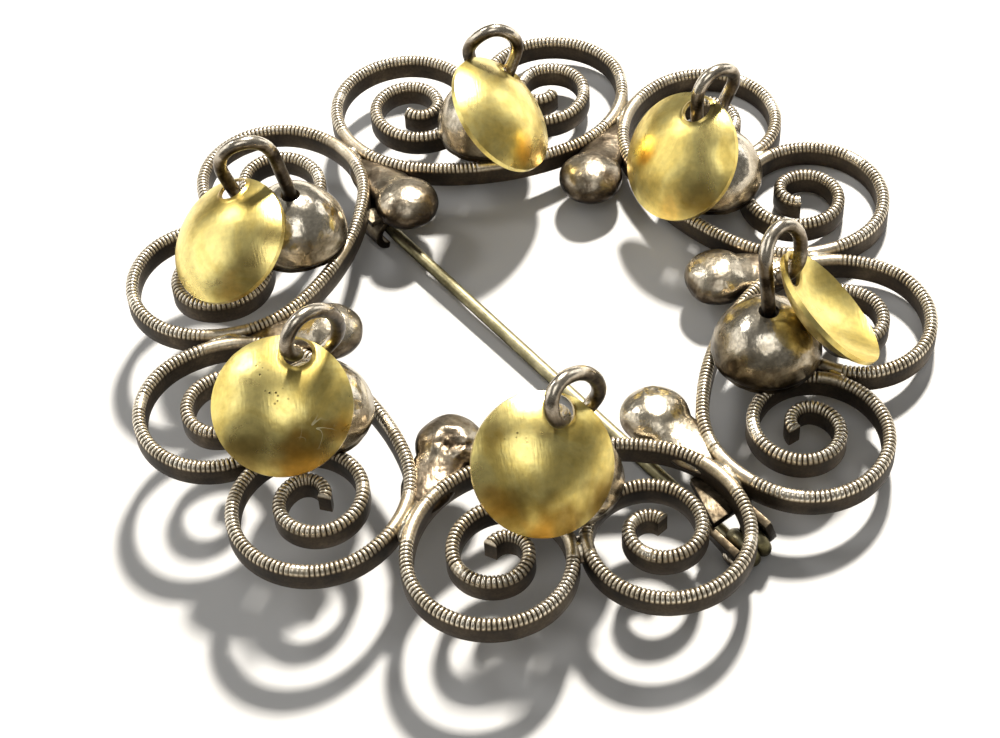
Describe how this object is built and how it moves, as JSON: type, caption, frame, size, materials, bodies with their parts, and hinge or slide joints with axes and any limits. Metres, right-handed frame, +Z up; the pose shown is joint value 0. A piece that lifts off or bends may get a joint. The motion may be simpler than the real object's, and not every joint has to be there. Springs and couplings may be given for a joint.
{
  "type": "wreath brooch",
  "caption": "Round openwork brooch of ribbed wire scrolls with hollow domes and grains, gilt discs hung on hooked wires, and a hinged pin under the ring.",
  "frame": {"origin": "middle of the footprint, on the surface that the brooch rests on", "axes": "+Z up, +Y away from the camera of the picture, +X to its right; the brooch lies on its pin fittings and one rim"},
  "size_m": [0.0442, 0.0444, 0.0142],
  "materials": {
    "oxidised_silver": "oxidised silver, brown-grey, rubbed bright on top",
    "silver_wire": "drawn silver wire, toned",
    "gilt_silver": "worn gilding, toned orange in places",
    "pin_metal": "yellowish white metal wire"
  },
  "bodies": {
    "brooch": {"wreath": "oxidised_silver", "hinge_rivet": "pin_metal", "hanger_wire_1": "silver_wire", "gilt_disc_1": "gilt_silver", "hanger_wire_2": "silver_wire", "gilt_disc_2": "gilt_silver", "hanger_wire_3": "silver_wire", "gilt_disc_3": "gilt_silver", "hanger_wire_4": "silver_wire", "gilt_disc_4": "gilt_silver", "hanger_wire_5": "silver_wire", "gilt_disc_5": "gilt_silver", "hanger_wire_6": "silver_wire", "gilt_disc_6": "gilt_silver"},
    "pin": {"pin_stem": "pin_metal"}
  },
  "joints": [
    {"name": "pin_hinge", "type": "hinge", "parent": "brooch", "child": "pin", "pos_m": [0.01026, -0.01626, 0.00122], "axis": [-0.8027, -0.5609, -0.2027], "range_deg": [0, 70]}
  ]
}
